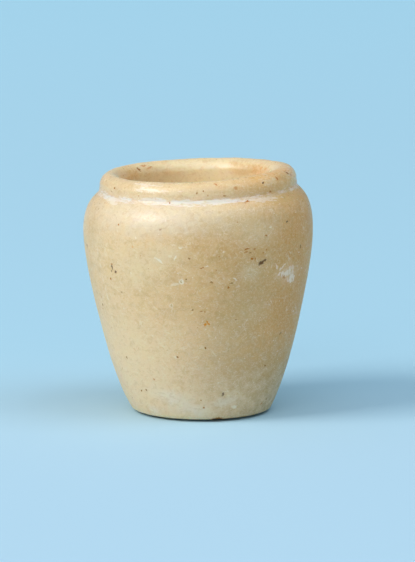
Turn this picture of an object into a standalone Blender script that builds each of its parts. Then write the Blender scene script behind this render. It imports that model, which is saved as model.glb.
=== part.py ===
"""Kohl jar: a small squat pot for eye paint, turned and drilled from one lump of pale travertine.

Metres, +Z up. The jar stands on its flat underside, the middle of which is the origin, and its front
faces -Y. One half section runs from the middle of the bore's floor, up the bore, over the rolled rim
and down the outside to the middle of the underside. It is turned round the upright axis, and the solid
then takes the small faults of handwork: a lean, a rim cut out of level and a mouth drilled off centre.
"""

import math

import bpy
from mathutils import Vector
from mathutils.geometry import interpolate_bezier

NAME = "kohl_jar"

# Foot: a flat underside with a softly rounded edge
FOOT_RADIUS = 0.01285
FOOT_EDGE_IN = 0.0011
FOOT_EDGE_UP = 0.0009

# Side: flares up from the foot to the widest part of the body
SIDE_RISE = 0.0327
SIDE_FLARE = math.radians(30.0)
SIDE_LOW_PULL = 0.0078
SIDE_HIGH_PULL = 0.0061
BODY_RADIUS = 0.02085

# Shoulder: rounds in from the widest part to the groove under the rim
SHOULDER_RISE = 0.0074
SHOULDER_LOW_PULL = 0.0055
SHOULDER_HIGH_PULL = 0.0014
SHOULDER_SLOPE = math.radians(37.0)

# Rim: a thick roll, oval in section, set in from the body and overhanging the groove
RIM_INSET = 0.00517
RIM_HALF_WIDTH = 0.00213
RIM_HALF_HEIGHT = 0.00232
GROOVE_DROP = 0.00084

# Bore: runs down from the roll's inner side and closes in a round to the floor
FLOOR_THICKNESS = 0.006
FLOOR_WALL = 0.0019
BORE_PULL = 0.030

# Handwork: the whole jar leans, its rim isn't level and the mouth is off centre
LEAN = math.radians(-0.85)
RIM_TILT_RISE = 0.0007
RIM_TILT_BEARING = math.radians(19.0)
RIM_WARP_RISE = 0.00012
RIM_WARP_BEARING = math.radians(-18.0)
RIM_FADE = 0.0137
MOUTH_SHIFT = -0.00046

# Fineness of the faceted surface
TURN_STEPS = 72
BORE_POINTS = 14
RIM_POINTS = 18
SHOULDER_POINTS = 9
SIDE_POINTS = 13
FOOT_POINTS = 4
WELD = 0.00001

# Heights of the stations, stacked from the underside up
FOOT_TOP = FOOT_EDGE_UP
BODY_HEIGHT = FOOT_TOP + SIDE_RISE
GROOVE_HEIGHT = BODY_HEIGHT + SHOULDER_RISE
RIM_HEIGHT = GROOVE_HEIGHT + GROOVE_DROP
RIM_RADIUS = BODY_RADIUS - RIM_INSET

# Travertine, as linear colour
STONE_COLOUR = (0.60, 0.47, 0.28, 1.0)
STONE_ROUGHNESS = 0.42


def bend(start, start_handle, end_handle, end, count):
    """Points of a cubic bend between two stations of the section, both ends included."""
    return [Vector(p) for p in interpolate_bezier(start, start_handle, end_handle, end, count)]


def bore_section():
    """From the middle of the floor out and up to the roll's inner side."""
    throat = Vector((RIM_RADIUS - RIM_HALF_WIDTH, 0, RIM_HEIGHT))
    floor = Vector((0, 0, FLOOR_THICKNESS))
    floor_handle = floor + Vector((FOOT_RADIUS - FLOOR_WALL, 0, 0))
    throat_handle = throat - Vector((0, 0, BORE_PULL))
    return bend(floor, floor_handle, throat_handle, throat, BORE_POINTS)


def rim_section():
    """Over the roll, from its inner side to where it dips into the groove."""
    low = -math.asin(GROOVE_DROP / RIM_HALF_HEIGHT)
    points = []
    for i in range(RIM_POINTS):
        angle = math.pi + (low - math.pi) * i / (RIM_POINTS - 1)
        across = RIM_HALF_WIDTH * math.cos(angle)
        up = RIM_HALF_HEIGHT * math.sin(angle)
        points.append(Vector((RIM_RADIUS + across, 0, RIM_HEIGHT + up)))
    return points


def shoulder_section(groove):
    """From the groove out and down to the widest part."""
    slope = Vector((math.sin(SHOULDER_SLOPE), 0, -math.cos(SHOULDER_SLOPE)))
    widest = Vector((BODY_RADIUS, 0, BODY_HEIGHT))
    widest_handle = widest + Vector((0, 0, SHOULDER_LOW_PULL))
    return bend(groove, groove + slope * SHOULDER_HIGH_PULL, widest_handle, widest, SHOULDER_POINTS)


def side_section():
    """From the widest part down the flare to the foot."""
    widest = Vector((BODY_RADIUS, 0, BODY_HEIGHT))
    foot = Vector((FOOT_RADIUS, 0, FOOT_TOP))
    flare = Vector((math.sin(SIDE_FLARE), 0, math.cos(SIDE_FLARE)))
    widest_handle = widest - Vector((0, 0, SIDE_HIGH_PULL))
    return bend(widest, widest_handle, foot + flare * SIDE_LOW_PULL, foot, SIDE_POINTS)


def foot_section():
    """Round the foot's edge and in along the underside to its middle."""
    points = []
    for i in range(FOOT_POINTS + 1):
        angle = math.pi / 2 * i / FOOT_POINTS
        inward = FOOT_EDGE_IN * (1 - math.cos(angle))
        up = FOOT_EDGE_UP * (1 - math.sin(angle))
        points.append(Vector((FOOT_RADIUS - inward, 0, up)))
    points.append(Vector((0, 0, 0)))
    return points


def half_section():
    """The whole section, and for each point how far it belongs to the bore, from 0 to 1."""
    bore = bore_section()
    rim = rim_section()
    shoulder = shoulder_section(rim[-1])
    side = side_section()
    foot = foot_section()
    outside = shoulder[1:] + side[1:] + foot[1:]
    points = bore + rim[1:] + outside
    shares = [1.0] * len(bore)
    shares += [min(1.0, max(0.0, (RIM_RADIUS - p.x) / RIM_HALF_WIDTH)) for p in rim[1:]]
    shares += [0.0] * len(outside)
    return points, shares


def turn(points, shares):
    """Turns the half section round the upright axis and returns the solid's mesh."""
    section = bpy.data.meshes.new("section")
    section.from_pydata(points, [(i, i + 1) for i in range(len(points) - 1)], [])
    bore_share = section.attributes.new("bore_share", "FLOAT", "POINT")
    bore_share.data.foreach_set("value", shares)
    turned = bpy.data.objects.new("turned", section)
    bpy.context.scene.collection.objects.link(turned)
    screw = turned.modifiers.new("turn", "SCREW")
    screw.axis = "Z"
    screw.angle = 2 * math.pi
    screw.steps = TURN_STEPS
    screw.render_steps = TURN_STEPS
    screw.use_merge_vertices = True
    screw.merge_threshold = WELD
    depsgraph = bpy.context.evaluated_depsgraph_get()
    mesh = bpy.data.meshes.new_from_object(
        turned.evaluated_get(depsgraph), preserve_all_data_layers=True, depsgraph=depsgraph
    )
    bpy.data.objects.remove(turned)
    return mesh


def handwork(point, share):
    """Where a point of the true turned form lies on the uneven pot."""
    reach = min(1.0, max(0.0, (point.z - GROOVE_HEIGHT + RIM_FADE) / RIM_FADE))
    ease = reach * reach * (3 - 2 * reach)
    bearing = math.atan2(point.y, point.x)
    lift = RIM_TILT_RISE * math.cos(bearing - RIM_TILT_BEARING)
    lift += RIM_WARP_RISE * math.cos(2 * (bearing - RIM_WARP_BEARING))
    aside = math.tan(LEAN) * point.z + MOUTH_SHIFT * share
    return point + Vector((aside, 0, ease * lift))


def travertine():
    """Pale honey travertine, smoothed by hand."""
    material = bpy.data.materials.new("travertine")
    material.use_nodes = True
    shader = material.node_tree.nodes["Principled BSDF"]
    shader.inputs["Base Color"].default_value = STONE_COLOUR
    shader.inputs["Roughness"].default_value = STONE_ROUGHNESS
    shader.inputs["Metallic"].default_value = 0.0
    return material


def jar():
    """The whole jar, one piece of stone."""
    mesh = turn(*half_section())
    shares = mesh.attributes["bore_share"].data
    for vertex in mesh.vertices:
        vertex.co = handwork(vertex.co, shares[vertex.index].value)
    mesh.name = NAME
    mesh.shade_smooth()
    mesh.materials.append(travertine())
    return bpy.data.objects.new(NAME, mesh)


for old in list(bpy.data.objects):
    bpy.data.objects.remove(old)

collection = bpy.data.collections.new("Kohl jar")
bpy.context.scene.collection.children.link(collection)
collection.objects.link(jar())
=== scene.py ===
import math

import bmesh
import bpy
from mathutils import Euler, Matrix, Vector, noise
from mathutils.bvhtree import BVHTree
from mathutils.geometry import interpolate_bezier
from mathutils.kdtree import KDTree


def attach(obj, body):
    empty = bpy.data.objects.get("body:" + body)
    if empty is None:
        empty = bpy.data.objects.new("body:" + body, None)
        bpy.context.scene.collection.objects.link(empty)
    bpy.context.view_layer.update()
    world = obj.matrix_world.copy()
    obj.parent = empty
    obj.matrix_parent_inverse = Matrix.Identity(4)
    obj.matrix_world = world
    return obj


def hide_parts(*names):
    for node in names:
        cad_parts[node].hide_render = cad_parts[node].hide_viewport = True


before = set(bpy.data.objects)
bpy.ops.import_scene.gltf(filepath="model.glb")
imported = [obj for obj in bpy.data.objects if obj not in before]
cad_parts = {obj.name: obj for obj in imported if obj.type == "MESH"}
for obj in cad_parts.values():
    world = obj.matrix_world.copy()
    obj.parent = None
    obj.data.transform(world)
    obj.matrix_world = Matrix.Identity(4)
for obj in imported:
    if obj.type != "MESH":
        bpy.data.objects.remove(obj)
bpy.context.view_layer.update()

# The camera. It looks at the jar's front from a little above, through a long lens that hardly draws
# the sides together. Its aim is a touch right of the jar and above its middle, as the photograph is
# framed.
CAMERA_DISTANCE = 0.637
CAMERA_ELEVATION = math.radians(8.88)
CAMERA_LENS = 224.2
JAR_MIDDLE = Vector((0, 0, 0.02275))
FRAMING = Vector((0.00124, 0.00013, 0.00092))

back = Vector((0, -math.cos(CAMERA_ELEVATION), math.sin(CAMERA_ELEVATION)))
camera_data = bpy.data.cameras.new("camera")
camera_data.lens = CAMERA_LENS
camera_data.clip_start = 0.01
camera = bpy.data.objects.new("camera", camera_data)
camera.location = JAR_MIDDLE + back * CAMERA_DISTANCE
camera.rotation_mode = "QUATERNION"
camera.rotation_quaternion = (JAR_MIDDLE + FRAMING - camera.location).to_track_quat("-Z", "Y")
bpy.context.scene.collection.objects.link(camera)
bpy.context.scene.camera = camera

# The jar, one lump of travertine, turned and rubbed smooth outside and ground out inside with a drill
# and sand, so the outside is soft and even while the bore keeps faint rings. Its half section is the
# CAD solid's, in millimetres until the finished form is brought to metres.
MM = 0.001
FOOT_RADIUS = 12.85
FOOT_EDGE_IN = 1.1
FOOT_EDGE_UP = 0.9
SIDE_RISE = 32.7
SIDE_FLARE = math.radians(30.0)
SIDE_LOW_PULL = 7.8
SIDE_HIGH_PULL = 6.1
BODY_RADIUS = 20.85
SHOULDER_RISE = 7.4
SHOULDER_LOW_PULL = 5.5
SHOULDER_HIGH_PULL = 1.4
SHOULDER_SLOPE = math.radians(37.0)
RIM_INSET = 5.17
RIM_HALF_WIDTH = 2.13
RIM_HALF_HEIGHT = 2.32
GROOVE_DROP = 0.84
FLOOR_THICKNESS = 6.0
FLOOR_WALL = 1.9
BORE_PULL = 30.0
LEAN = math.radians(-0.85)
RIM_TILT_RISE = 0.7
RIM_TILT_BEARING = math.radians(19.0)
RIM_WARP_RISE = 0.12
RIM_WARP_BEARING = math.radians(-18.0)
RIM_FADE = 13.7
MOUTH_SHIFT = -0.46

BODY_HEIGHT = FOOT_EDGE_UP + SIDE_RISE
GROOVE_HEIGHT = BODY_HEIGHT + SHOULDER_RISE
RIM_HEIGHT = GROOVE_HEIGHT + GROOVE_DROP
RIM_RADIUS = BODY_RADIUS - RIM_INSET

# The half section is spun through one sector, which is then doubled round until it closes.
SECTOR_STEPS = 24
DOUBLINGS = 4
BORE_POINTS = 44
RIM_POINTS = 44
SHOULDER_POINTS = 26
SIDE_POINTS = 104
FOOT_POINTS = 8
UNDERSIDE_POINTS = 8
WELD = 0.001


def half_section():
    """Points from the middle of the bore's floor, over the rim and down to the middle of the underside,
    and for each how far it belongs to the bore, from 0 to 1."""
    floor = Vector((0, 0, FLOOR_THICKNESS))
    floor_handle = floor + Vector((FOOT_RADIUS - FLOOR_WALL, 0, 0))
    throat = Vector((RIM_RADIUS - RIM_HALF_WIDTH, 0, RIM_HEIGHT))
    throat_handle = throat - Vector((0, 0, BORE_PULL))
    bore = interpolate_bezier(floor, floor_handle, throat_handle, throat, BORE_POINTS)
    rim = []
    dip = -math.asin(GROOVE_DROP / RIM_HALF_HEIGHT)
    for i in range(1, RIM_POINTS):
        turn = math.pi + (dip - math.pi) * i / (RIM_POINTS - 1)
        across = RIM_HALF_WIDTH * math.cos(turn)
        rim.append(Vector((RIM_RADIUS + across, 0, RIM_HEIGHT + RIM_HALF_HEIGHT * math.sin(turn))))
    slope = Vector((math.sin(SHOULDER_SLOPE), 0, -math.cos(SHOULDER_SLOPE)))
    widest = Vector((BODY_RADIUS, 0, BODY_HEIGHT))
    shoulder = interpolate_bezier(
        rim[-1], rim[-1] + slope * SHOULDER_HIGH_PULL,
        widest + Vector((0, 0, SHOULDER_LOW_PULL)), widest, SHOULDER_POINTS,
    )
    foot_top = Vector((FOOT_RADIUS, 0, FOOT_EDGE_UP))
    flare = Vector((math.sin(SIDE_FLARE), 0, math.cos(SIDE_FLARE)))
    side = interpolate_bezier(
        widest, widest - Vector((0, 0, SIDE_HIGH_PULL)),
        foot_top + flare * SIDE_LOW_PULL, foot_top, SIDE_POINTS,
    )
    foot = []
    for i in range(1, FOOT_POINTS + 1):
        turn = math.pi / 2 * i / FOOT_POINTS
        inward = FOOT_EDGE_IN * (1 - math.cos(turn))
        foot.append(Vector((FOOT_RADIUS - inward, 0, FOOT_EDGE_UP * (1 - math.sin(turn)))))
    underside = []
    for i in range(1, UNDERSIDE_POINTS + 1):
        underside.append(Vector((foot[-1].x * (1 - i / UNDERSIDE_POINTS), 0, 0)))
    outside = shoulder[1:] + side[1:] + foot + underside
    shares = [1.0] * len(bore)
    shares += [min(1.0, max(0.0, (RIM_RADIUS - p.x) / RIM_HALF_WIDTH)) for p in rim]
    shares += [0.0] * len(outside)
    return bore + rim + outside, shares


jar_mesh = bmesh.new()
bore_share = jar_mesh.verts.layers.float.new("bore_share")
groove_wear_and_sheen = jar_mesh.verts.layers.float.new("groove_wear_and_sheen")
section = []
for point, share in zip(*half_section()):
    vertex = jar_mesh.verts.new(point)
    vertex[bore_share] = share
    section.append(vertex)
edges = [jar_mesh.edges.new(pair) for pair in zip(section, section[1:])]
sector = 2 * math.pi / 2 ** DOUBLINGS
bmesh.ops.spin(
    jar_mesh, geom=section + edges, axis=(0, 0, 1), cent=(0, 0, 0),
    steps=SECTOR_STEPS, angle=sector,
)
for i in range(DOUBLINGS):
    whole = jar_mesh.verts[:] + jar_mesh.edges[:] + jar_mesh.faces[:]
    copied = bmesh.ops.duplicate(jar_mesh, geom=whole)["geom"]
    copied_verts = [g for g in copied if isinstance(g, bmesh.types.BMVert)]
    further_round = Matrix.Rotation(sector * 2 ** i, 3, "Z")
    bmesh.ops.rotate(jar_mesh, verts=copied_verts, cent=(0, 0, 0), matrix=further_round)
bmesh.ops.remove_doubles(jar_mesh, verts=jar_mesh.verts, dist=WELD)
bmesh.ops.recalc_face_normals(jar_mesh, faces=jar_mesh.faces)
jar_mesh.normal_update()

# Handwork on the jar: a rubbed, faintly uneven skin, turning ridges round the rim, a worn and rough
# groove, drill rings down the bore and a foot worn clear at its edge, and then the lean, the slight
# bow, the rim cut out of level and the mouth off centre. A pair is a bump's size and its height, and
# for a waver its size and how many spacings a ridge or ring strays.
RUB_BROAD = (11.0, 0.10)
RUB_CLOSE = (3.6, 0.035)
SKIN = (0.9, 0.010)
RIM_NICKS = (2.2, 0.07)
RIM_NICKS_START = Vector((7, 3, 5))
GROOVE_ROUGH = (0.8, 0.07)
UNEVEN_ABOVE = 2.0
GROOVE_FILL = 0.16
GROOVE_FILL_REACH = 0.8
GROOVE_CORE = 0.2
GROOVE_REACH = 1.25
GROOVE_WEAR_SHEEN_OUT = 0.45
GROOVE_WEAR_SHEEN_DOWN = 0.14
RIDGE_SPACING = 0.90
RIDGE_HEIGHT = 0.032
RIDGE_WAVER = (7.0, 0.35)
RIDGE_PATCH = 5.0
RIDGE_PATCH_START = Vector((2, 9, 4))
RIDGE_SHARE = 0.5
RING_SPACING = 1.25
RING_DEPTH = 0.035
RING_WAVER = (6.0, 0.6)
RINGS_ABOVE_FLOOR = 3.0
LEDGE_DROP = 2.5
LEDGE_REACH = 0.60
LEDGE_DEPTH = 0.06
FOOT_CLEAR_RADIUS = 9.8
FOOT_CLEAR = 0.42
BOW = 0.14
BOW_MIDDLE = 23.0


def smooth_step(low, high, value):
    """How far the value has come from low to high, from 0 to 1, with a slow start and end."""
    t = min(1.0, max(0.0, (value - low) / (high - low)))
    return t * t * (3 - 2 * t)


def uneven(place, size, height):
    """How far a point stands out from an even skin, for bumps of that size and height."""
    return height * noise.noise(place / size)


groove_radius = RIM_RADIUS + RIM_HALF_WIDTH * math.cos(math.asin(GROOVE_DROP / RIM_HALF_HEIGHT))
ledge_height = RIM_HEIGHT + RIM_HALF_HEIGHT - LEDGE_DROP
moved = []
for vertex in jar_mesh.verts:
    place = vertex.co
    share = vertex[bore_share]
    radius = math.hypot(place.x, place.y)
    above_foot = smooth_step(0.0, UNEVEN_ABOVE, place.z)
    on_rim = smooth_step(GROOVE_HEIGHT, RIM_HEIGHT, place.z)
    from_groove = math.hypot(radius - groove_radius, place.z - GROOVE_HEIGHT)
    # The band under the groove's lip is roughened here and painted white later: partly wear, partly a
    # painted highlight where it faces up.
    from_wear_and_sheen = math.hypot(
        radius - groove_radius - GROOVE_WEAR_SHEEN_OUT, place.z - GROOVE_HEIGHT + GROOVE_WEAR_SHEEN_DOWN
    )
    wear_and_sheen = 1 - smooth_step(GROOVE_CORE, GROOVE_REACH, from_wear_and_sheen)
    raised = uneven(place, *RUB_BROAD) + uneven(place, *RUB_CLOSE) + uneven(place, *SKIN)
    raised += on_rim * RIM_NICKS[1] * noise.noise(place / RIM_NICKS[0] + RIM_NICKS_START)
    ridge = math.sin(2 * math.pi * (place.z / RIDGE_SPACING + uneven(place, *RIDGE_WAVER)))
    ridge *= RIDGE_SHARE + noise.noise(place / RIDGE_PATCH + RIDGE_PATCH_START)
    raised += on_rim * RIDGE_HEIGHT * ridge
    raised += wear_and_sheen * uneven(place, *GROOVE_ROUGH)
    raised += GROOVE_FILL * (1 - smooth_step(0.0, GROOVE_FILL_REACH, from_groove))
    ring = math.sin(2 * math.pi * (place.z / RING_SPACING + uneven(place, *RING_WAVER)))
    inside = share * (1 - on_rim)
    inside *= smooth_step(FLOOR_THICKNESS, FLOOR_THICKNESS + RINGS_ABOVE_FLOOR, place.z)
    raised += inside * RING_DEPTH * ring
    if share > 0:
        raised -= LEDGE_DEPTH * (1 - smooth_step(0.0, LEDGE_REACH, abs(place.z - ledge_height)))
    vertex[groove_wear_and_sheen] = wear_and_sheen
    clear = Vector((0, 0, 0))
    if share == 0 and place.z < FOOT_EDGE_UP:
        clear.z = FOOT_CLEAR * smooth_step(FOOT_CLEAR_RADIUS, FOOT_RADIUS, radius)
        clear.z *= 1 - place.z / FOOT_EDGE_UP
    moved.append(place + vertex.normal * raised * above_foot + clear)
for vertex, place in zip(jar_mesh.verts, moved):
    share = vertex[bore_share]
    ease = smooth_step(GROOVE_HEIGHT - RIM_FADE, GROOVE_HEIGHT, place.z)
    bearing = math.atan2(place.y, place.x)
    lift = RIM_TILT_RISE * math.cos(bearing - RIM_TILT_BEARING)
    lift += RIM_WARP_RISE * math.cos(2 * (bearing - RIM_WARP_BEARING))
    aside = math.tan(LEAN) * place.z + MOUTH_SHIFT * share
    aside += BOW * ((place.z - BOW_MIDDLE) / BOW_MIDDLE) ** 2
    vertex.co = place + Vector((aside, 0, ease * lift))
jar_mesh.normal_update()

# Marks of age on the jar: pits and flakes knocked out of the skin, with dirt in them, rusty specks of
# iron in the stone, and pale scuffs where it was rubbed or struck. A place is a bearing from the
# front, in degrees to the right, and a height; a slant turns a mark's right end down.
PIT_DARK = "#7C4600"
PIT_BROWN = "#B06C00"
RUST = "#CA7600"
ORANGE = "#E69200"
BONE = "#FFEAD0"
AMBER = "#D2A765"

MARKS = (
    # bearing, height, half width, half height, slant, depth, colour, strength
    (33.1, 29.7, 0.80, 0.28, -28, 0.22, PIT_DARK, 0.97),
    (35.0, 30.1, 0.32, 0.20, -28, 0.15, PIT_DARK, 0.81),
    (-48.9, 28.3, 0.19, 0.42, 6, 0.12, PIT_DARK, 0.76),
    (-46.4, 27.5, 0.25, 0.25, 0, 0.14, PIT_DARK, 0.92),
    (-49.7, 27.5, 0.18, 0.20, 0, 0.08, PIT_DARK, 0.65),
    (-51.3, 26.0, 0.18, 0.16, 0, 0.06, RUST, 1.00),
    (-48.8, 28.9, 0.18, 0.14, 0, 0.05, RUST, 0.86),
    (50.2, 36.4, 0.24, 0.21, 0, 0.14, PIT_DARK, 0.92),
    (-4.3, 30.9, 0.20, 0.12, 10, 0.10, PIT_BROWN, 0.83),
    (15.9, 5.4, 0.27, 0.32, 20, 0.20, PIT_DARK, 0.86),
    (-45.2, 5.4, 0.21, 0.18, -30, 0.10, PIT_BROWN, 1.00),
    (-40.7, 5.7, 0.19, 0.16, -30, 0.08, PIT_BROWN, 0.91),
    (-6.3, 27.1, 0.16, 0.14, 0, 0.05, PIT_BROWN, 1.00),
    (3.4, 14.4, 0.19, 0.15, 0, 0.08, PIT_BROWN, 1.00),
    (-14.4, 12.6, 0.26, 0.30, 0, 0.05, BONE, 0.60),
    (-13.5, 12.6, 0.19, 0.24, -20, 0.12, PIT_BROWN, 0.97),
    (-51.7, 11.4, 0.22, 0.16, 40, 0.08, PIT_BROWN, 0.91),
    (45.7, 10.1, 0.17, 0.18, 0, 0.08, PIT_BROWN, 0.97),
    (54.0, 15.8, 0.28, 0.16, -30, 0.08, PIT_BROWN, 0.91),
    (58.2, 3.3, 0.22, 0.16, 0, 0.06, PIT_BROWN, 0.91),
    (53.2, 2.6, 0.40, 0.22, -15, 0.06, RUST, 0.60),
    (62.2, 31.4, 0.22, 0.38, 0, 0.06, PIT_BROWN, 0.91),
    (-74.8, 31.0, 0.30, 0.22, 0, 0.08, PIT_BROWN, 0.91),
    (-66.0, 20.6, 0.22, 0.24, 0, 0.08, PIT_BROWN, 0.77),
    (-65.1, 22.0, 0.18, 0.16, 0, 0.05, RUST, 0.73),
    (-18.6, 35.9, 0.30, 0.18, -35, 0.04, PIT_BROWN, 0.50),
    (-43.2, 36.2, 0.18, 0.16, 0, 0.04, RUST, 0.92),
    (-33.7, 32.5, 0.22, 0.18, 0, 0.00, ORANGE, 0.44),
    (-44.1, 23.9, 0.20, 0.14, 0, 0.05, PIT_BROWN, 0.69),
    (-3.4, 21.5, 0.17, 0.15, -30, 0.05, PIT_BROWN, 0.91),
    (15.4, 25.5, 0.17, 0.14, 0, 0.05, RUST, 1.00),
    (16.8, 26.3, 0.26, 0.13, -20, 0.04, PIT_BROWN, 0.69),
    (6.5, 26.5, 0.28, 0.13, 12, 0.06, PIT_BROWN, 0.91),
    (1.8, 29.2, 0.30, 0.14, -8, 0.05, RUST, 0.92),
    (10.3, 31.2, 0.20, 0.12, 0, 0.04, RUST, 0.79),
    (24.6, 32.3, 0.48, 0.15, -6, 0.06, RUST, 1.00),
    (23.8, 31.8, 0.34, 0.11, 0, 0.04, RUST, 0.73),
    (28.4, 32.3, 0.30, 0.12, 0, 0.04, RUST, 0.73),
    (26.4, 31.6, 0.20, 0.15, 0, 0.05, PIT_BROWN, 0.69),
    (27.5, 30.5, 0.24, 0.19, 0, 0.06, RUST, 1.00),
    (29.2, 30.5, 0.13, 0.12, 0, 0.04, RUST, 0.79),
    (35.5, 31.9, 0.18, 0.14, 0, 0.04, RUST, 0.73),
    (33.7, 31.4, 0.24, 0.10, 0, 0.03, RUST, 0.66),
    (35.5, 34.5, 0.18, 0.16, 0, 0.05, RUST, 0.86),
    (20.1, 19.5, 0.16, 0.13, 0, 0.05, PIT_BROWN, 0.77),
    (0.9, 4.4, 0.15, 0.14, 0, 0.05, RUST, 0.92),
    (2.6, 2.9, 0.15, 0.14, 0, 0.05, RUST, 0.92),
    (-31.8, 8.0, 0.20, 0.18, 0, 0.04, RUST, 0.60),
    (3.3, 18.7, 0.26, 0.17, -35, 0.05, ORANGE, 0.99),
    (4.4, 19.2, 0.17, 0.28, 0, 0.05, ORANGE, 0.99),
    (5.5, 18.8, 0.26, 0.16, 40, 0.05, ORANGE, 0.94),
    (1.2, 21.2, 0.18, 0.13, 0, 0.03, RUST, 0.92),
    (3.1, 21.1, 0.15, 0.12, 0, 0.03, RUST, 0.79),
    (49.5, 26.4, 0.34, 0.30, 20, 0.10, RUST, 0.60),
    (-19.3, 30.3, 0.80, 0.20, 36, 0.04, BONE, 0.90),
    (-21.2, 30.8, 0.30, 0.20, 0, 0.03, BONE, 0.65),
    (-13.8, 31.2, 0.28, 0.22, 0, 0.02, BONE, 0.50),
    (-11.2, 30.9, 0.17, 0.50, 24, 0.04, BONE, 0.95),
    (-8.6, 32.8, 0.34, 0.15, 10, 0.03, BONE, 0.80),
    (-11.9, 33.2, 0.42, 0.11, 12, 0.02, BONE, 0.45),
    (-8.6, 26.6, 0.42, 0.38, 0, 0.05, BONE, 0.90),
    (-8.6, 26.6, 0.18, 0.17, 0, 0.00, AMBER, 0.80),
    (-12.1, 26.1, 0.75, 0.26, -18, 0.03, BONE, 0.50),
    (-14.6, 22.2, 0.36, 0.34, 0, 0.03, BONE, 0.60),
    (-14.6, 22.2, 0.18, 0.17, 0, 0.00, AMBER, 0.70),
    (-31.8, 34.1, 0.19, 0.16, 0, 0.03, BONE, 0.85),
    (-35.9, 27.6, 0.14, 0.30, -20, 0.03, BONE, 0.65),
    (18.7, 27.0, 0.46, 0.15, 32, 0.03, BONE, 0.80),
    (12.5, 32.0, 0.15, 0.26, 0, 0.03, BONE, 0.65),
    (4.4, 29.5, 0.22, 0.16, 0, 0.03, BONE, 0.80),
    (38.3, 35.9, 0.18, 0.17, 0, 0.03, BONE, 0.80),
    (64.9, 19.4, 0.24, 0.20, 0, 0.03, BONE, 0.60),
    (-60.5, 30.8, 0.13, 0.40, 0, 0.02, BONE, 0.50),
    (-59.4, 28.1, 0.13, 0.55, 0, 0.02, BONE, 0.45),
    (-59.2, 25.6, 0.16, 0.50, -8, 0.02, BONE, 0.60),
    (-58.2, 23.9, 0.14, 0.34, 0, 0.02, BONE, 0.50),
    (-57.5, 22.4, 0.20, 0.60, -12, 0.02, BONE, 0.60),
    (-57.6, 18.4, 0.12, 0.50, 0, 0.02, BONE, 0.40),
    (25.9, 2.8, 0.50, 0.32, 10, 0.03, BONE, 0.70),
    (14.0, 0.5, 0.95, 0.38, 0, 0.14, PIT_BROWN, 1.00),
    (-57.1, 42.0, 0.17, 0.16, 0, 0.10, PIT_BROWN, 0.97),
    (-51.3, 41.3, 0.70, 0.40, 0, 0.00, AMBER, 0.25),
    (3.6, 42.3, 0.22, 0.17, 0, 0.12, PIT_BROWN, 1.00),
    (-0.1, 42.1, 0.18, 0.15, 0, 0.06, PIT_BROWN, 0.83),
    (11.1, 43.5, 0.34, 0.16, 30, 0.08, RUST, 0.66),
    (22.8, 42.8, 0.42, 0.22, 0, 0.08, RUST, 0.60),
    (15.6, 41.6, 0.24, 0.14, 0, 0.08, PIT_BROWN, 0.91),
    (-15.9, 40.3, 0.14, 0.13, 0, 0.03, RUST, 0.86),
    (-9.4, 41.5, 0.50, 0.24, 0, 0.00, AMBER, 0.35),
    (28.6, 40.4, 0.55, 0.13, -12, 0.08, RUST, 1.00),
    (41.7, 43.3, 0.19, 0.17, 0, 0.10, PIT_DARK, 1.00),
    (46.6, 41.7, 0.28, 0.22, 0, 0.10, RUST, 0.86),
    (54.7, 43.8, 0.22, 0.34, 0, 0.08, RUST, 0.79),
    (69.9, 44.2, 0.44, 0.24, 20, 0.08, PIT_BROWN, 0.97),
    (73.2, 43.7, 0.32, 0.22, 0, 0.06, RUST, 0.73),
    (-74.8, 42.7, 0.20, 0.22, 0, 0.03, BONE, 0.65),
)
MOUTH_MARKS = (
    # the same, on the wall of the bore
    (-132.2, 43.0, 0.50, 0.22, -30, 0.12, PIT_BROWN, 1.00),
    (-138.6, 43.5, 0.80, 0.12, 0, 0.05, RUST, 0.60),
    (-143.7, 43.1, 0.70, 0.11, 10, 0.05, RUST, 0.53),
    (172.6, 43.9, 0.50, 0.30, 0, 0.04, AMBER, 0.35),
    (149.1, 43.8, 1.00, 0.40, 0, 0.02, AMBER, 0.30),
    (119.2, 43.5, 0.30, 0.30, 0, 0.04, ORANGE, 0.33),
    (112.0, 43.6, 0.44, 0.30, 0, 0.04, ORANGE, 0.33),
)
# How far outside the jar a place is looked for from, how far round a mark its dent reaches, and
# between which shares of its half sizes the dent fades out.
OUTSIDE = 60.0
DENT_REACH = 1.3
DENT_FADE = (0.2, 1.2)

skin = BVHTree.FromBMesh(jar_mesh)
jar_mesh.verts.ensure_lookup_table()
near = KDTree(len(jar_mesh.verts))
for vertex in jar_mesh.verts:
    near.insert(vertex.co, vertex.index)
near.balance()


def place_on_skin(bearing, height, in_mouth=False):
    """The point of the skin at that bearing and height, and which way it faces."""
    outward = Vector((math.sin(math.radians(bearing)), -math.cos(math.radians(bearing)), 0))
    middle = Vector((math.tan(LEAN) * height + MOUTH_SHIFT * in_mouth, 0, height))
    if in_mouth:
        place, facing, _, _ = skin.ray_cast(middle, outward)
    else:
        place, facing, _, _ = skin.ray_cast(middle + outward * OUTSIDE, -outward)
    return place, facing


def press(mark, place, facing):
    """Sinks a mark into the skin, round-edged, along the way the skin faces there."""
    bearing, _, half_width, half_height, slant, depth = mark[:6]
    turn = Euler((0, math.radians(slant), math.radians(bearing))).to_matrix().inverted()
    for _, index, _ in near.find_range(place, DENT_REACH * max(half_width, half_height)):
        vertex = jar_mesh.verts[index]
        local = turn @ (vertex.co - place)
        away = math.hypot(local.x / half_width, local.z / half_height)
        vertex.co -= facing * depth * (1 - smooth_step(*DENT_FADE, away))


placed_marks = [(mark, *place_on_skin(*mark[:2])) for mark in MARKS]
placed_marks += [(mark, *place_on_skin(*mark[:2], in_mouth=True)) for mark in MOUTH_MARKS]
for mark, place, facing in placed_marks:
    press(mark, place, facing)
bmesh.ops.scale(jar_mesh, vec=(MM, MM, MM), verts=jar_mesh.verts)
for face in jar_mesh.faces:
    face.smooth = True

jar_data = bpy.data.meshes.new("travertine_jar")
jar_mesh.to_mesh(jar_data)
jar_mesh.free()
jar = bpy.data.objects.new("travertine_jar", jar_data)
bpy.context.scene.collection.objects.link(jar)

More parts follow.
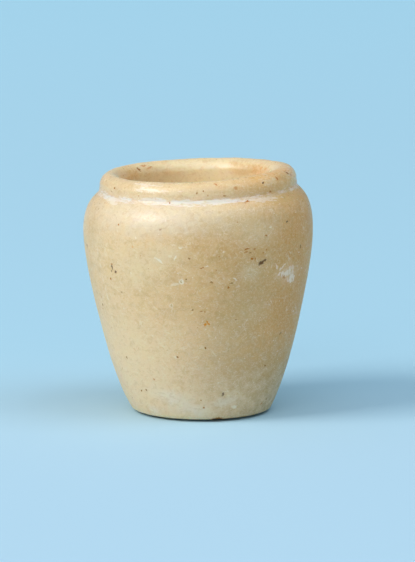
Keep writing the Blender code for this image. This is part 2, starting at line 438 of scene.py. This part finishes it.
# Travertine, the banded calcite also called Egyptian alabaster, rubbed smooth and never polished.
# Light goes a few millimetres into it, which softens every shadow and warms the thin rim, and its
# fibrous crystals show as short pale threads in honey-coloured stone, with rusty pinpoints.
CREAM = "#F5CD97"
HONEY = "#E3B672"
PALE = "#F9E0B8"
SAGE = "#C9B384"
# The next colour is painted light on the rim.
RIM_LIGHT_CREAM = "#DFCFB0"
CHALK = "#F8E8C2"
IVORY = "#ECE0C6"
WARM_WHITE = "#FFDDC0"
CHALK_WHITE = "#FFEADA"
GOLD = "#F2B866"
UMBER = "#B08A50"
LIT_CREAM = "#FFD8AE"
DEEP_AMBER = "#DE9638"
THREAD = "#FFE9C8"


def linear(code):
    """An sRGB hex colour as linear red, green, blue and alpha."""
    parts = [int(code[i:i + 2], 16) / 255 for i in (1, 3, 5)]
    return tuple(c / 12.92 if c <= 0.04045 else ((c + 0.055) / 1.055) ** 2.4 for c in parts) + (1.0,)


def add(tree, kind, inputs=None, **options):
    """Adds a node: options are its properties, and inputs are values to set or sockets to link."""
    node = tree.nodes.new(kind)
    for name, value in options.items():
        setattr(node, name, value)
    for name, value in (inputs or {}).items():
        if isinstance(value, bpy.types.NodeSocket):
            tree.links.new(value, node.inputs[name])
        else:
            node.inputs[name].default_value = value
    return node


stone = bpy.data.materials.new("rubbed_travertine")
stone.use_nodes = True
tree = stone.node_tree
shader = tree.nodes["Principled BSDF"]
coordinates = add(tree, "ShaderNodeTexCoord").outputs["Object"]
mm = add(tree, "ShaderNodeVectorMath", {0: coordinates, "Scale": 1 / MM}, operation="SCALE").outputs[0]

# Each layer of the stone's colour lies over the one before. First come clouds: a pattern's size across
# and up the jar in millimetres, its detail and distortion, the noise levels between which it comes in,
# how strongly, and its colour.
colour = linear(CREAM)


def lay_grains(under, across, up, detail, distortion, low, high, strength, over):
    """The colour with clouds or grains of another one laid over it."""
    spread = add(
        tree, "ShaderNodeVectorMath", {0: mm, 1: (across, across, up)}, operation="DIVIDE"
    ).outputs[0]
    pattern = add(
        tree, "ShaderNodeTexNoise",
        {"Vector": spread, "Scale": 1.0, "Detail": detail, "Distortion": distortion},
    ).outputs["Fac"]
    mask = add(
        tree, "ShaderNodeMapRange",
        {"Value": pattern, "From Min": low, "From Max": high, "To Max": strength},
        interpolation_type="SMOOTHSTEP",
    ).outputs["Result"]
    return add(tree, "ShaderNodeMix", {0: mask, 6: under, 7: linear(over)}, data_type="RGBA").outputs[2]


for layer in (
    (14.0, 14.0, 2, 0.6, 0.40, 0.64, 0.30, HONEY),
    (5.0, 5.0, 3, 0.8, 0.50, 0.72, 0.24, PALE),
    (3.6, 2.2, 2, 1.0, 0.52, 0.70, 0.44, AMBER),
    (7.0, 1.5, 2, 0.8, 0.50, 0.70, 0.20, AMBER),
):
    colour = lay_grains(colour, *layer)

# The rim is painted paler and greyer than the body all round: painted light, for the thin rim that
# light passes through, and for the whiter highlight on it.
RIM_FOOT = (40.2, 42.2)
RIM_PALENESS = 0.42
height = add(tree, "ShaderNodeSeparateXYZ", {0: mm}).outputs["Z"]
painted_light_rim = add(
    tree, "ShaderNodeMapRange",
    {"Value": height, "From Min": RIM_FOOT[0], "From Max": RIM_FOOT[1], "To Max": RIM_PALENESS},
    interpolation_type="SMOOTHSTEP",
).outputs["Result"]
colour = add(
    tree, "ShaderNodeMix", {0: painted_light_rim, 6: colour, 7: linear(RIM_LIGHT_CREAM)}, data_type="RGBA"
).outputs[2]

# Broad stains and rubbed patches, with edges broken up by a patchy noise. Some washes are painted light
# instead: paler ones are painted light down the lit left side and low on it, and a painted highlight on
# the left shoulder; deeper amber ones are partly the stone's tone and partly painted shade on the right
# and round the right of the foot. A mark's gradient runs out at MARK_FADE times its half sizes, to
# leave room for a soft edge, which wavers within RAGGED_BY. Its oval goes through the skin by both half
# sizes and MARK_DEEPER.
MARK_FADE = 2.5
MARK_DEEPER = 1.0
RAGGED_PER_MM = 2.2
RAGGED_BY = 0.7
PATCHES_PER_MM = 0.7
WASHES = (
    # bearing, height, half width, half height, slant, colour, strength
    (18.0, 31.5, 8.5, 2.8, 0, AMBER, 0.24),
    (4.0, 36.2, 9.0, 1.9, 0, AMBER, 0.44),
    (-4.0, 33.5, 9.0, 2.2, 0, AMBER, 0.22),
    # next row: painted highlight, the lit left edge of the shoulder paler
    (-72.0, 35.0, 9.0, 4.0, 0, IVORY, 0.35),
    (-68.0, 35.6, 2.4, 3.4, 0, AMBER, 0.48),
    # next two rows: deeper amber down the right flank, partly the stone's own tone and partly painted
    # shade away from the key light, with a painted glow along its edge
    (82.0, 21.0, 15.0, 18.0, 0, DEEP_AMBER, 0.70),
    (74.0, 21.0, 8.0, 17.0, 0, DEEP_AMBER, 0.95),
    (56.0, 42.9, 9.0, 2.4, 0, GOLD, 0.56),
    (42.0, 44.0, 2.4, 0.6, 0, GOLD, 0.55),
    # next two rows: deeper amber on the right side, partly the stone's own tone and partly painted shade
    (54.0, 20.0, 13.0, 18.0, 0, DEEP_AMBER, 0.36),
    (54.0, 35.0, 10.5, 4.6, 0, DEEP_AMBER, 0.44),
    (26.0, 37.6, 6.0, 1.4, 0, AMBER, 0.30),
    (-4.0, 36.4, 4.0, 1.0, -8, AMBER, 0.30),
    # next row: painted glow, warmer amber along the left edge where light shines through the stone
    (-86.0, 21.0, 8.0, 15.0, 0, AMBER, 0.25),
    (31.0, 23.5, 7.0, 8.0, 0, DEEP_AMBER, 0.24),
    # next three rows: painted shade, deeper amber and umber low on the right round the foot
    (38.0, 5.0, 13.0, 7.0, 0, DEEP_AMBER, 0.50),
    (72.0, 5.0, 13.0, 7.0, 0, DEEP_AMBER, 0.80),
    (60.0, 3.0, 17.0, 8.0, 0, UMBER, 0.85),
    # next row: painted light, the lower left paler
    (-46.0, 9.0, 15.0, 10.0, 0, LIT_CREAM, 0.62),
    (-30.0, 30.0, 5.0, 4.5, 0, PALE, 0.45),
    # next row: painted light, the lower front left paler
    (-25.0, 3.5, 15.0, 5.0, 0, LIT_CREAM, 0.75),
    # next row: painted highlight, the left shoulder paler
    (-18.0, 38.2, 15.0, 3.0, 0, IVORY, 0.60),
    (-6.0, 37.6, 14.0, 2.0, 0, SAGE, 0.24),
    # next row: painted highlight, frosty white on the left shoulder
    (-25.0, 37.6, 9.0, 2.4, 0, CHALK_WHITE, 0.34),
    (30.0, 34.8, 4.0, 2.0, 0, PALE, 0.42),
    # next row: painted light, the lit left side paler
    (-50.0, 16.0, 12.0, 14.0, 0, PALE, 0.32),
    # next row: painted light, paler round the bruise on the right
    (52.5, 26.8, 2.6, 1.5, 0, LIT_CREAM, 0.45),
    (-16.0, 31.8, 2.6, 1.6, 0, PALE, 0.45),
    (26.7, 28.1, 1.8, 1.4, 0, PALE, 0.40),
    (26.0, 22.0, 4.0, 9.0, 20, SAGE, 0.22),
    (30.0, 20.5, 3.6, 1.6, -30, PALE, 0.14),
    (-22.0, 4.9, 3.2, 1.1, 12, CHALK_WHITE, 0.40),
    (-7.0, 2.3, 3.0, 1.3, 14, CHALK_WHITE, 0.40),
    (16.6, 3.9, 2.0, 0.7, -10, CHALK_WHITE, 0.38),
    (-38.5, 1.9, 1.0, 0.7, 0, CHALK_WHITE, 0.35),
)
wobble = add(
    tree, "ShaderNodeTexNoise", {"Vector": mm, "Scale": RAGGED_PER_MM, "Detail": 2.0}
).outputs["Color"]
centred = add(
    tree, "ShaderNodeVectorMath", {0: wobble, 1: (0.5, 0.5, 0.5)}, operation="SUBTRACT"
).outputs[0]
ragged = add(
    tree, "ShaderNodeVectorMath", {0: centred, 1: (RAGGED_BY, RAGGED_BY, RAGGED_BY), 2: mm},
    operation="MULTIPLY_ADD",
).outputs[0]
patchy = add(
    tree, "ShaderNodeTexNoise", {"Vector": mm, "Scale": PATCHES_PER_MM, "Detail": 4.0}
).outputs["Fac"]


def lay_mark(under, row, place, soft, breakup=None, amount=0.0, within=None):
    """The colour with a mark laid over it: full inside its oval, fading over its soft edge, broken up
    by a pattern and kept within a region, where those are given."""
    bearing, _, half_width, half_height, slant = row[:5]
    over, strength = row[-2:]
    oval = add(tree, "ShaderNodeTexGradient", {"Vector": ragged}, gradient_type="SPHERICAL")
    oval.texture_mapping.vector_type = "TEXTURE"
    oval.texture_mapping.translation = place
    oval.texture_mapping.rotation = (0, math.radians(slant), math.radians(bearing))
    through = half_width + half_height + MARK_DEEPER
    oval.texture_mapping.scale = [MARK_FADE * half for half in (half_width, through, half_height)]
    nearness = oval.outputs["Fac"]
    shift = 0.0
    if breakup:
        shift = amount / MARK_FADE
        nearness = add(
            tree, "ShaderNodeMath", {0: breakup, 1: shift, 2: nearness}, operation="MULTIPLY_ADD"
        ).outputs[0]
    edge = 1 - 1 / MARK_FADE + shift / 2
    mask = add(
        tree, "ShaderNodeMapRange",
        {
            "Value": nearness, "From Min": edge - soft / MARK_FADE, "From Max": edge + soft / MARK_FADE,
            "To Max": strength,
        },
        interpolation_type="SMOOTHSTEP",
    ).outputs["Result"]
    if within:
        mask = add(tree, "ShaderNodeMath", {0: mask, 1: within}, operation="MULTIPLY").outputs[0]
    return add(tree, "ShaderNodeMix", {0: mask, 6: under, 7: linear(over)}, data_type="RGBA").outputs[2]


for row in WASHES:
    place, _ = place_on_skin(*row[:2])
    colour = lay_mark(colour, row, place, soft=0.9, breakup=patchy, amount=1.2)

# The bore was ground out with sand and never rubbed. Its wall is painted paler than the outside all
# over, as painted light for the light that comes in at the mouth and through the thin wall, with
# chalky and honey-coloured patches under the mouth, some of them painted light as well.
BORE_PAINTED_LIGHT = 0.82
MOUTH_WASHES = (
    # the same, on the wall of the bore
    (-140.0, 40.5, 5.5, 3.0, 0, AMBER, 0.30),
    # next row: painted light, warming the inner left lip, which stands in shade
    (-112.0, 43.0, 5.0, 1.8, 0, GOLD, 0.60),
    (160.0, 41.4, 6.0, 1.6, 0, PALE, 0.35),
    (-118.0, 42.0, 2.5, 1.6, 0, AMBER, 0.25),
    # next two rows: painted highlight along the top of the back wall, under the crest
    (163.0, 42.2, 5.5, 1.2, 0, BONE, 0.28),
    (172.0, 43.3, 5.0, 0.5, 0, BONE, 0.30),
    # next two rows: painted glow on the right of the wall, where light shines through the rim
    (138.0, 43.0, 3.4, 1.6, 0, AMBER, 0.50),
    (117.0, 43.2, 3.0, 1.8, 0, DEEP_AMBER, 0.42),
)
ground = add(tree, "ShaderNodeAttribute", attribute_name="bore_share").outputs["Fac"]
bore_painted_light = add(tree, "ShaderNodeMath", {0: ground, 1: BORE_PAINTED_LIGHT}, operation="MULTIPLY").outputs[0]
colour = add(
    tree, "ShaderNodeMix", {0: bore_painted_light, 6: colour, 7: linear(CHALK)}, data_type="RGBA"
).outputs[2]
for row in MOUTH_WASHES:
    place, _ = place_on_skin(*row[:2], in_mouth=True)
    colour = lay_mark(colour, row, place, soft=0.5, breakup=patchy, amount=1.5, within=ground)

# Fine grain over the stains: amber blotches, sugary grains and pale pinpoints.
for layer in (
    (1.5, 1.1, 2, 1.5, 0.50, 0.66, 0.24, AMBER),
    (0.50, 0.40, 1, 0.6, 0.52, 0.70, 0.20, PALE),
    (0.60, 0.50, 1, 0.8, 0.54, 0.74, 0.12, AMBER),
    (0.24, 0.22, 0, 0.3, 0.56, 0.72, 0.19, BONE),
):
    colour = lay_grains(colour, *layer)

# Crystal threads: thin lines where a twisting noise passes its middle, broken up by a second one. The
# finest real ones wouldn't show, so these are drawn coarser, at about a tenth of a millimetre.
THREAD_GAPS = (0.38, 0.56)
GAPS_PER_TWIST = 0.9
for size, thickness, strength in (
    # size of the noise's twists, how far off its middle a thread reaches, strength
    (2.40, 0.014, 0.48),
    (1.30, 0.021, 0.36),
    (0.80, 0.032, 0.21),
):
    twist = add(
        tree, "ShaderNodeTexNoise", {"Vector": mm, "Scale": 1 / size, "Detail": 1.0, "Distortion": 1.2}
    ).outputs["Fac"]
    middle = add(tree, "ShaderNodeMath", {0: twist, 1: 0.5}, operation="SUBTRACT").outputs[0]
    off_line = add(tree, "ShaderNodeMath", {0: middle}, operation="ABSOLUTE").outputs[0]
    line = add(
        tree, "ShaderNodeMapRange",
        {"Value": off_line, "From Max": thickness, "To Min": strength, "To Max": 0.0},
    ).outputs["Result"]
    gaps = add(
        tree, "ShaderNodeTexNoise", {"Vector": mm, "Scale": GAPS_PER_TWIST / size, "Detail": 0.0}
    ).outputs["Fac"]
    kept = add(
        tree, "ShaderNodeMapRange",
        {"Value": gaps, "From Min": THREAD_GAPS[0], "From Max": THREAD_GAPS[1]},
        interpolation_type="SMOOTHSTEP",
    ).outputs["Result"]
    thread = add(tree, "ShaderNodeMath", {0: line, 1: kept}, operation="MULTIPLY").outputs[0]
    colour = add(
        tree, "ShaderNodeMix", {0: thread, 6: colour, 7: linear(THREAD)}, data_type="RGBA"
    ).outputs[2]

# Rusty, brown and pale specks, each kind one to a cell, in a share of the cells drawn by lot.
SPECK_CORE = 0.4
for size, radius, empty, over, strength in (
    # size of a cell, a speck's radius as a share of it, share of empty cells, colour, strength
    (1.7, 0.085, 0.50, RUST, 0.70),
    (2.9, 0.055, 0.45, PIT_BROWN, 0.75),
    (1.2, 0.115, 0.45, BONE, 0.90),
):
    cells = add(tree, "ShaderNodeTexVoronoi", {"Vector": ragged, "Scale": 1 / size})
    dot = add(
        tree, "ShaderNodeMapRange",
        {
            "Value": cells.outputs["Distance"], "From Min": radius, "From Max": radius * SPECK_CORE,
            "To Max": strength,
        },
        interpolation_type="SMOOTHSTEP",
    ).outputs["Result"]
    lot = add(tree, "ShaderNodeSeparateColor", {0: cells.outputs["Color"]}).outputs[0]
    drawn = add(tree, "ShaderNodeMath", {0: lot, 1: empty}, operation="GREATER_THAN").outputs[0]
    speck = add(tree, "ShaderNodeMath", {0: dot, 1: drawn}, operation="MULTIPLY").outputs[0]
    colour = add(
        tree, "ShaderNodeMix", {0: speck, 6: colour, 7: linear(over)}, data_type="RGBA"
    ).outputs[2]

# The groove, white in streaks that run round it: partly abraded, and partly a painted highlight on its
# lower side, which faces up into the light.
GROOVE_STREAKS = (1.7, 1.7, 0.24)
GROOVE_LEVELS = (0.36, 0.56)
GROOVE_WHITENESS = 0.66
worn_and_sheen = add(tree, "ShaderNodeAttribute", attribute_name="groove_wear_and_sheen").outputs["Fac"]
round_groove = add(
    tree, "ShaderNodeVectorMath", {0: ragged, 1: GROOVE_STREAKS}, operation="DIVIDE"
).outputs[0]
wear_and_sheen_streaks = add(
    tree, "ShaderNodeTexNoise", {"Vector": round_groove, "Scale": 1.0, "Detail": 4.0}
).outputs["Fac"]
patchy_wear_and_sheen = add(tree, "ShaderNodeMath", {0: worn_and_sheen, 1: wear_and_sheen_streaks}, operation="MULTIPLY").outputs[0]
white_wear_and_sheen = add(
    tree, "ShaderNodeMapRange",
    {
        "Value": patchy_wear_and_sheen, "From Min": GROOVE_LEVELS[0], "From Max": GROOVE_LEVELS[1],
        "To Max": GROOVE_WHITENESS,
    },
    interpolation_type="SMOOTHSTEP",
).outputs["Result"]
colour = add(
    tree, "ShaderNodeMix", {0: white_wear_and_sheen, 6: colour, 7: linear(CHALK_WHITE)}, data_type="RGBA"
).outputs[2]

# Scuffs: the bruise at the right, in upright strokes, and pale places by the groove and on the rim, in
# level ones. The pale places by the groove are partly rubbed and partly a painted highlight on its lower
# side, and two streaks on the rim's front left are a painted highlight. Over them come the marks of age
# that were pressed into the skin.
UPRIGHT_STROKES = (0.42, 0.42, 1.1)
LEVEL_STROKES = (1.5, 1.5, 0.28)
SCUFFS = (
    # bearing, height, half width, half height, slant, colour, strength
    (51.9, 27.1, 1.95, 0.42, 4, WARM_WHITE, 1.00),
    (56.2, 26.1, 0.72, 0.85, 0, WARM_WHITE, 1.00),
    (46.9, 27.0, 0.26, 0.45, 0, WARM_WHITE, 0.80),
    (55.2, 25.6, 0.60, 0.34, 0, WARM_WHITE, 0.80),
    (43.2, 28.5, 0.72, 0.14, 57, WARM_WHITE, 0.75),
    (46.9, 28.3, 0.85, 0.15, -34, WARM_WHITE, 0.75),
    (55.9, 27.8, 1.20, 0.34, 0, WARM_WHITE, 0.50),
    (65.7, 27.2, 0.26, 0.18, 0, WARM_WHITE, 0.65),
)
LEVEL_SCUFFS_AND_HIGHLIGHTS = (
    # the same
    # next three rows: pale by the groove, partly rubbed and partly painted highlight
    (-68.0, 40.3, 2.20, 0.42, 6, CHALK_WHITE, 0.75),
    (-58.0, 39.8, 2.00, 0.40, 8, CHALK_WHITE, 0.70),
    (-45.5, 40.3, 1.30, 0.36, 0, CHALK_WHITE, 0.85),
    (52.0, 40.6, 5.00, 1.00, 0, HONEY, 0.62),
    # next three rows: pale by the groove, partly rubbed and partly painted highlight
    (-24.0, 40.6, 3.20, 0.36, 0, CHALK_WHITE, 0.80),
    (-9.0, 40.4, 4.20, 0.46, 0, CHALK_WHITE, 0.85),
    (10.0, 40.5, 4.00, 0.38, 0, CHALK_WHITE, 0.80),
    # next two rows: painted highlight, pale streaks on the rim's front left
    (-33.0, 43.1, 2.40, 0.16, 0, CHALK_WHITE, 0.60),
    (-27.0, 42.3, 3.40, 0.26, 0, CHALK_WHITE, 0.60),
    # next row: pale by the groove, partly rubbed and partly painted highlight
    (40.0, 40.5, 3.20, 0.30, 0, CHALK_WHITE, 0.55),
    (82.0, 43.8, 2.60, 0.80, 0, BONE, 0.45),
    (47.0, 43.6, 1.50, 0.60, 0, BONE, 0.28),
)
upright = add(tree, "ShaderNodeVectorMath", {0: mm, 1: UPRIGHT_STROKES}, operation="DIVIDE").outputs[0]
fibrous = add(tree, "ShaderNodeTexNoise", {"Vector": upright, "Scale": 1.0, "Detail": 2.0}).outputs["Fac"]
level = add(tree, "ShaderNodeVectorMath", {0: mm, 1: LEVEL_STROKES}, operation="DIVIDE").outputs[0]
streaky = add(tree, "ShaderNodeTexNoise", {"Vector": level, "Scale": 1.0, "Detail": 2.0}).outputs["Fac"]
for row in SCUFFS:
    place, _ = place_on_skin(*row[:2])
    colour = lay_mark(colour, row, place, soft=0.3, breakup=fibrous, amount=5.0)
for row in LEVEL_SCUFFS_AND_HIGHLIGHTS:
    place, _ = place_on_skin(*row[:2])
    colour = lay_mark(colour, row, place, soft=0.4, breakup=streaky, amount=4.5)
for row, place, _ in placed_marks:
    colour = lay_mark(colour, row, place, soft=0.35)
tree.links.new(colour, shader.inputs["Base Color"])

# Its sheen: fine grain and level rubbing marks, and a body left duller than the shoulder and the rim.
# The reflection is calcite's. Red light scatters through SCATTER millimetres of it, and green and blue
# less far, which warms the edges and the small marks.
GRAIN_SIZE = 0.55
RUBBING_MARKS = (1.8, 1.8, 0.22)
RUBBING_SHARE = 0.35
RELIEF = 0.06
RELIEF_STRENGTH = 0.52
GRAIN_LEVELS = (0.3, 0.7)
ROUGHNESS = (0.26, 0.42)
SHEEN_RISE = (33.0, 38.5)
BODY_DULLER = 0.12
SCATTER = 1.8
grain = add(
    tree, "ShaderNodeTexNoise", {"Vector": mm, "Scale": 1 / GRAIN_SIZE, "Detail": 1.5}
).outputs["Fac"]
along = add(tree, "ShaderNodeVectorMath", {0: mm, 1: RUBBING_MARKS}, operation="DIVIDE").outputs[0]
rubbing = add(tree, "ShaderNodeTexNoise", {"Vector": along, "Scale": 1.0, "Detail": 1.0}).outputs["Fac"]
relief = add(
    tree, "ShaderNodeMath", {0: rubbing, 1: RUBBING_SHARE, 2: grain}, operation="MULTIPLY_ADD"
).outputs[0]
bump = add(
    tree, "ShaderNodeBump", {"Height": relief, "Strength": RELIEF_STRENGTH, "Distance": RELIEF * MM}
).outputs[0]
tree.links.new(bump, shader.inputs["Normal"])
rough = add(
    tree, "ShaderNodeMapRange",
    {
        "Value": grain, "From Min": GRAIN_LEVELS[0], "From Max": GRAIN_LEVELS[1],
        "To Min": ROUGHNESS[0], "To Max": ROUGHNESS[1],
    },
).outputs["Result"]
duller = add(
    tree, "ShaderNodeMapRange",
    {
        "Value": height, "From Min": SHEEN_RISE[0], "From Max": SHEEN_RISE[1],
        "To Min": BODY_DULLER, "To Max": 0.0,
    },
    interpolation_type="SMOOTHSTEP",
).outputs["Result"]
sheen = add(tree, "ShaderNodeMath", {0: rough, 1: duller}, operation="ADD").outputs[0]
tree.links.new(sheen, shader.inputs["Roughness"])
shader.inputs["IOR"].default_value = 1.5
shader.inputs["Specular IOR Level"].default_value = 0.46
shader.inputs["Subsurface Weight"].default_value = 1.0
shader.inputs["Subsurface Radius"].default_value = (1.0, 0.82, 0.50)
shader.inputs["Subsurface Scale"].default_value = SCATTER * MM
jar_data.materials.append(stone)
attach(jar, "root")
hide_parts("kohl_jar")

# The floor and the light. A plain sheet of pale blue matt paper, with hardly any sheen, carries on far
# behind the jar. A strong soft light stands high on the left, and weaker ones overhead, on the right
# and in front, so the jar is bright on its left and its shadow falls softly on the right.
FLOOR_HALF = 3.0
NEAR_BLUE = "#BADAEE"
BACK_BLUE = "#B2D9ED"
FAR_BLUE = "#B8E5FA"

floor_mesh = bmesh.new()
bmesh.ops.create_grid(floor_mesh, x_segments=1, y_segments=1, size=FLOOR_HALF)
floor_data = bpy.data.meshes.new("floor")
floor_mesh.to_mesh(floor_data)
floor_mesh.free()
floor = bpy.data.objects.new("floor", floor_data)
bpy.context.scene.collection.objects.link(floor)
paper = bpy.data.materials.new("matt_paper")
paper.use_nodes = True
paper_shader = paper.node_tree.nodes["Principled BSDF"]
paper_place = add(paper.node_tree, "ShaderNodeTexCoord").outputs["Object"]
going_back = add(paper.node_tree, "ShaderNodeSeparateXYZ", {0: paper_place}).outputs["Y"]
# The blue is a little deeper behind the jar and paler far back.
paper_colour = linear(NEAR_BLUE)
for start, end, over in ((-0.05, 0.08, BACK_BLUE), (0.2, 1.2, FAR_BLUE)):
    faded = add(
        paper.node_tree, "ShaderNodeMapRange",
        {"Value": going_back, "From Min": start, "From Max": end},
        interpolation_type="SMOOTHSTEP",
    ).outputs["Result"]
    paper_colour = add(
        paper.node_tree, "ShaderNodeMix", {0: faded, 6: paper_colour, 7: linear(over)}, data_type="RGBA"
    ).outputs[2]
paper.node_tree.links.new(paper_colour, paper_shader.inputs["Base Color"])
paper_shader.inputs["Roughness"].default_value = 0.9
paper_shader.inputs["Specular IOR Level"].default_value = 0.2
floor_data.materials.append(paper)

LIGHT_DISTANCE = 5.0
for name, bearing, elevation, size, power, tint in (
    # bearing to the right of the front and elevation in degrees, size in metres, power in watts, colour
    ("key", -63.0, 40.0, 2.2, 144.0, "#FFFAF2"),
    ("top", -10.0, 72.0, 3.6, 35.0, "#FFFFFF"),
    ("fill", 70.0, 58.0, 3.0, 58.0, "#E6F6FF"),
    ("front", -18.0, 26.0, 3.0, 38.0, "#FFFDF8"),
):
    light_data = bpy.data.lights.new(name, "AREA")
    light_data.size = size
    light_data.energy = power
    light_data.color = linear(tint)[:3]
    light = bpy.data.objects.new(name, light_data)
    around = math.radians(bearing)
    up = math.radians(elevation)
    toward = Vector((math.sin(around) * math.cos(up), -math.cos(around) * math.cos(up), math.sin(up)))
    light.location = JAR_MIDDLE + toward * LIGHT_DISTANCE
    light.rotation_mode = "QUATERNION"
    light.rotation_quaternion = toward.to_track_quat("Z", "Y")
    light.visible_camera = False
    bpy.context.scene.collection.objects.link(light)

world = bpy.data.worlds.new("studio")
world.use_nodes = True
sky = world.node_tree.nodes["Background"]
sky.inputs["Color"].default_value = linear("#D2EEFF")
sky.inputs["Strength"].default_value = 0.37
bpy.context.scene.world = world
bpy.context.scene.view_settings.view_transform = "Standard"
